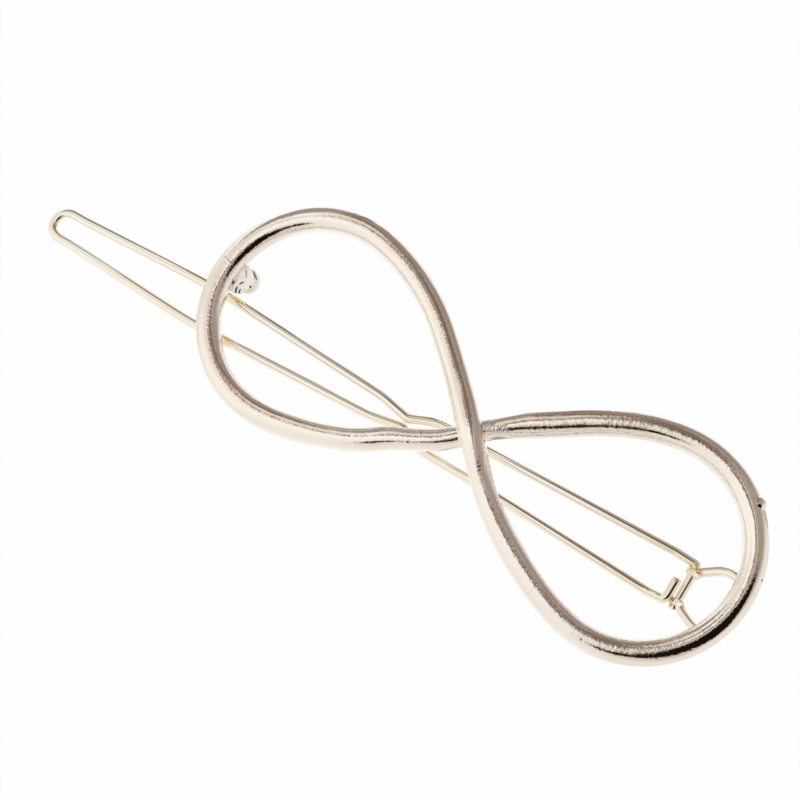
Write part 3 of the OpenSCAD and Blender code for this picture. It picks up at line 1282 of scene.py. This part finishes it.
@dataclass
class Pad:
    """The plate behind the right end, cast round the bail's far side.

    Args:
        x: From the crossing to its inner edge.
        y: Its middle to the side of the band's long axis.
        length: Its length across that axis.
        thick: Its thickness.
        edge: Radius that rounds its edges.
        inset: How far it stays inside the band's outer edge.
        voxel: Size of the cast surface's faces.
        grains: Size and depth of each roughness.
    """

    x: float = 30.25
    y: float = 0.1
    length: float = 4.8
    thick: float = 1.15
    edge: float = 0.25
    inset: float = 0.08
    voxel: float = 0.08
    grains: tuple[Pair, ...] = ((0.8, 0.12), (0.25, 0.04))

    def build(self, band: Band, bail: Piece) -> Piece:
        """Models the pad.

        Args:
            band: The band that it stands behind.
            bail: The bail, in whose shape it is hollowed.

        Returns:
            The piece, in object mode.
        """
        piece = Piece("cast_pad")
        low = Vector((self.x, self.y - self.length / 2, -self.thick))
        high = Vector((band.reach + band.width, self.y + self.length / 2, 0.0))
        add = bpy.ops.mesh.primitive_cube_add
        piece.start(add, size=1.0, location=(low + high) / 2, scale=high - low)
        bpy.ops.mesh.bevel(offset=self.edge, segments=4, affect="EDGES")
        piece.close()
        disc = Piece("pad_disc")
        outer = band.end_r + band.width / 2 - self.inset
        rings = [(-0.5, outer), (self.thick + 0.5, outer)]
        disc.turned(Vector((band.end_c(), 0, -self.thick)), rings, 160)
        piece.apply(Union.KEEP, disc)
        piece.recast(self.voxel)
        piece.roughen(*self.grains)
        piece.apply(Union.CUT, bail, discard=False)
        piece.close()
        return piece


@dataclass(frozen=True)
class Card:
    """A soft-edged patch of the light tent that polished metal mirrors.

    Its place is given on a flat map of the directions round the clip. The map's middle is the
    direction from the clip up to the lens, and a point's distance from it is the angle between
    that point's direction and the middle, in degrees.

    Args:
        colour: Colour of the patch.
        at: Its place, right of and above the map's middle.
        size: Half its extent each way.
        turn: Its turn, anticlockwise, in degrees.
        soft: Width of its soft edge, as a share of its size.
        square: Exponent of its corners: 2 for round ones, more for square ones.
    """

    colour: Colour
    at: Pair
    size: Pair
    turn: float
    soft: float
    square: float

    def mask(self, nodes: Nodes, across: Socket, upward: Socket) -> Socket:
        """Builds the patch's mask.

        Args:
            nodes: Where to build it.
            across: Place right on the map.
            upward: Place up on the map.

        Returns:
            The mask, from 0 outside to 1 inside.
        """
        right = nodes.math("SUBTRACT", across, self.at[0])
        up = nodes.math("SUBTRACT", upward, self.at[1])
        cosine, sine = math.cos(radians(self.turn)), math.sin(radians(self.turn))
        parts = []
        for first, second, half in ((cosine, sine, self.size[0]), (-sine, cosine, self.size[1])):
            turned = nodes.plus(nodes.times(right, first / half), nodes.times(up, second / half))
            parts.append(nodes.math("POWER", nodes.math("ABSOLUTE", turned), self.square))
        reach = nodes.math("POWER", nodes.plus(*parts), 1 / self.square)
        return nodes.ramp(reach, 1 - self.soft / 2, 1 + self.soft / 2, 1.0, 0.0)


@dataclass
class Studio:
    """Camera, floor and light.

    Args:
        lean_right: Lean of the band's front along the band, as a share of its normal.
        lean_down: Lean of it across the band, as a share of its normal.
        roll: Turn of the band's long axis in the picture, in degrees.
        focal_px: Focal length, in pixels.
        picture_px: Width of the picture, in pixels.
        sensor: Width of the camera's sensor, in millimetres.
        scale_px: Pixels to a millimetre at the crossing.
        crossing_px: The crossing right of and below the picture's middle, in pixels.
        floor_size: Width of the floor, in metres.
        floor_drop: Depth of the floor, past the reach of the opened arm, in metres.
        floor_glow: Share of the floor's brightness, as the lens sees it, that is its own.
        tent_radius: Radius of the light tent round the clip, in metres.
        cards: What the metal mirrors of it.
    """

    lean_right: float = 0.142
    lean_down: float = 0.225
    roll: float = 35.2
    focal_px: float = 2000.0
    picture_px: float = 800.0
    sensor: float = 36.0
    scale_px: float = 9.8
    crossing_px: Pair = (74.0, 29.7)
    floor_size: float = 4.0
    floor_drop: float = 0.082
    floor_glow: float = 0.88
    tent_radius: float = 0.15
    cards: tuple[Card, ...] = ()

    def axes(self) -> Matrix:
        """Finds the camera's axes from the lean and the roll.

        Returns:
            Its right, up and backward axes, as the columns of a matrix.
        """
        facing = Vector((self.lean_right, self.lean_down, 0.0))
        facing.z = math.sqrt(1 - facing.length_squared)
        along = Vector((math.cos(radians(self.roll)), math.sin(radians(self.roll)), 0.0))
        along = (along - facing * along.dot(facing)).normalized()
        across = facing.cross(along)
        seen = Matrix((along, -across, -facing)).transposed()
        right, down, away = (Vector(row) for row in seen)
        return Matrix((right, -down, -away)).transposed()

    def add_camera(self) -> None:
        """Adds the camera at the photograph's place."""
        axes = self.axes()
        right, down = (px / self.scale_px * MM for px in self.crossing_px)
        away = self.focal_px / self.scale_px * MM
        camera = bpy.data.objects.new("camera", bpy.data.cameras.new("camera"))
        bpy.context.scene.collection.objects.link(camera)
        camera.data.sensor_width = self.sensor
        camera.data.lens = self.focal_px / self.picture_px * self.sensor
        camera.data.clip_start = 0.01
        place = crossing_place() + axes @ Vector((-right, down, away))
        camera.matrix_world = Matrix.Translation(place) @ axes.to_4x4()
        bpy.context.scene.camera = camera

    def add_floor(self) -> None:
        """Adds the pale floor, deep enough below the clip to leave room for the opened arm."""
        bpy.ops.object.select_all(action="DESELECT")
        place = (0.0, 0.0, -self.floor_drop)
        bpy.ops.mesh.primitive_plane_add(size=self.floor_size, location=place)
        settle()
        floor = bpy.context.active_object
        floor.name = "floor"
        material, nodes = new_material("pale_floor")
        seen = nodes.add("ShaderNodeLightPath").outputs["Is Camera Ray"]
        matt = nodes.add("ShaderNodeBsdfDiffuse", {"Color": (*PALE, 1.0)}).outputs[0]
        inputs = {"Color": (*WHITE, 1.0), "Strength": 1.0}
        bright = nodes.add("ShaderNodeEmission", inputs).outputs[0]
        inputs = {0: nodes.times(seen, self.floor_glow), 1: matt, 2: bright}
        nodes.finish(nodes.add("ShaderNodeMixShader", inputs).outputs[0])
        floor.data.materials.append(material)
        floor.visible_glossy = False

    def tent_light(self, nodes: Nodes) -> Socket:
        """Builds the tent's light, from the cards on the map of directions.

        Args:
            nodes: Where to build it.

        Returns:
            The light's colour.
        """
        place = nodes.add("ShaderNodeTexCoord").outputs["Object"]
        offset = nodes.vector_math("SUBTRACT", place, crossing_place())["Vector"]
        way = nodes.vector_math("NORMALIZE", offset)["Vector"]
        right, up, back = (
            nodes.vector_math("DOT_PRODUCT", way, axis)["Value"] for axis in self.axes().col
        )
        held = nodes.math("MINIMUM", nodes.math("MAXIMUM", back, -1.0), 1.0)
        away = nodes.math("ARCCOSINE", held)
        out = nodes.math("MAXIMUM", nodes.math("SINE", away), 0.001)
        stretch = nodes.math("DIVIDE", nodes.math("DEGREES", away), out)
        across = nodes.times(right, stretch)
        upward = nodes.times(up, stretch)
        light = WHITE
        for card in self.cards:
            light = nodes.mix(card.mask(nodes, across, upward), light, card.colour)
        return light

    def add_tent(self) -> None:
        """Adds the light tent round the clip, which only polished metal shows."""
        bpy.ops.object.select_all(action="DESELECT")
        bpy.ops.mesh.primitive_uv_sphere_add(
            segments=96, ring_count=48, radius=self.tent_radius, location=crossing_place()
        )
        settle()
        tent = bpy.context.active_object
        tent.name = "light_tent"
        material, nodes = new_material("tent_cloth")
        glow = nodes.add("ShaderNodeEmission", {"Color": self.tent_light(nodes), "Strength": 1.0})
        nodes.finish(glow.outputs[0])
        material.cycles.emission_sampling = "NONE"
        tent.data.materials.append(material)
        for ray in ("camera", "diffuse", "shadow", "transmission", "volume_scatter"):
            setattr(tent, "visible_" + ray, False)

    def add_world(self) -> None:
        """Adds the plain soft light, before a white ground."""
        world = bpy.data.worlds.new("studio")
        bpy.context.scene.world = world
        world.use_nodes = True
        nodes = Nodes(world.node_tree)
        seen = nodes.add("ShaderNodeLightPath").outputs["Is Camera Ray"]
        inputs = {"Color": nodes.mix(seen, PALE, GROUND), "Strength": 1.0}
        light = nodes.add("ShaderNodeBackground", inputs).outputs[0]
        nodes.finish(light, "ShaderNodeOutputWorld")

    def build(self) -> None:
        """Sets up the whole studio."""
        self.add_camera()
        self.add_floor()
        self.add_tent()
        self.add_world()
        bpy.context.scene.view_settings.view_transform = "Standard"


STUDIO_CARDS = (
    Card((0.851, 0.817, 0.783), (64.7, -73.8), (112.2, 93.7), -43, 0.41, 2),
    Card((0.793, 0.803, 0.751), (-97.7, 33.5), (36.4, 112.6), 19, 1.65, 2),
    Card((0.778, 0.716, 0.671), (-52.8, 37.4), (28.8, 19.8), -3, 0.32, 2),
    Card((0.154, 0.087, 0.040), (1.3, 84.1), (13.3, 58.4), -19, 0.20, 2),
    Card((0.321, 0.298, 0.289), (-30.3, 92.6), (18.2, 40.1), -29, 0.31, 2),
    Card((0.361, 0.346, 0.316), (139.4, 2.3), (29.9, 10.4), -18, 0.23, 2),
    Card((0.382, 0.310, 0.267), (35.4, 0.7), (60.1, 30.7), 62, 1.20, 3),
    Card((0.805, 0.719, 0.629), (-8.5, 55.6), (17.7, 11.7), -59, 0.81, 4),
    Card((0.125, 0.072, 0.033), (16.9, 62.3), (8.3, 57.0), -19, 0.45, 2),
    Card((0.310, 0.253, 0.230), (44.2, 73.4), (80.2, 24.9), -40, 1.25, 2),
    Card((0.215, 0.156, 0.128), (13.0, 44.6), (21.8, 15.1), 8, 0.92, 2),
    Card((0.376, 0.291, 0.182), (-7.1, -28.4), (12.9, 13.4), -4, 0.24, 2),
    Card((0.980, 0.968, 0.921), (-72.3, 4.2), (36.6, 27.0), 69, 1.11, 2),
    Card((0.010, 0.006, 0.004), (-11.5, -30.8), (11.0, 8.9), -5, 0.21, 4),
    Card((0.010, 0.006, 0.004), (21.7, -22.4), (27.2, 25.6), 1, 0.13, 4),
)


def main() -> None:
    """Builds the studio and the clip, and logs the face count of each piece."""
    studio = Studio(cards=STUDIO_CARDS)
    studio.build()
    plated = BAND_PLATING.build()
    gold = WIRE_PLATING.build()
    rough = ROUGH_PLATING.build()
    hinge = Hinge()
    band = Band()
    catch = Catch()
    bail = Bail(hinge).build()
    pad = Pad().build(band, bail)
    band.build().deliver(plated, "frame", "plated_casting", "frame_band")
    catch.build_stud().deliver(rough, "frame", "rough_casting", "catch_stud")
    catch.build_solder().deliver(rough, "frame", "rough_casting", "catch_solder")
    pad.deliver(rough, "frame", "rough_casting", "hinge_pad")
    bail.deliver(gold, "frame", "gold_wire", "bail")
    Arm(hinge).build().deliver(gold, "arm", "gold_wire", "arm")


if __name__ == "__main__":
    main()
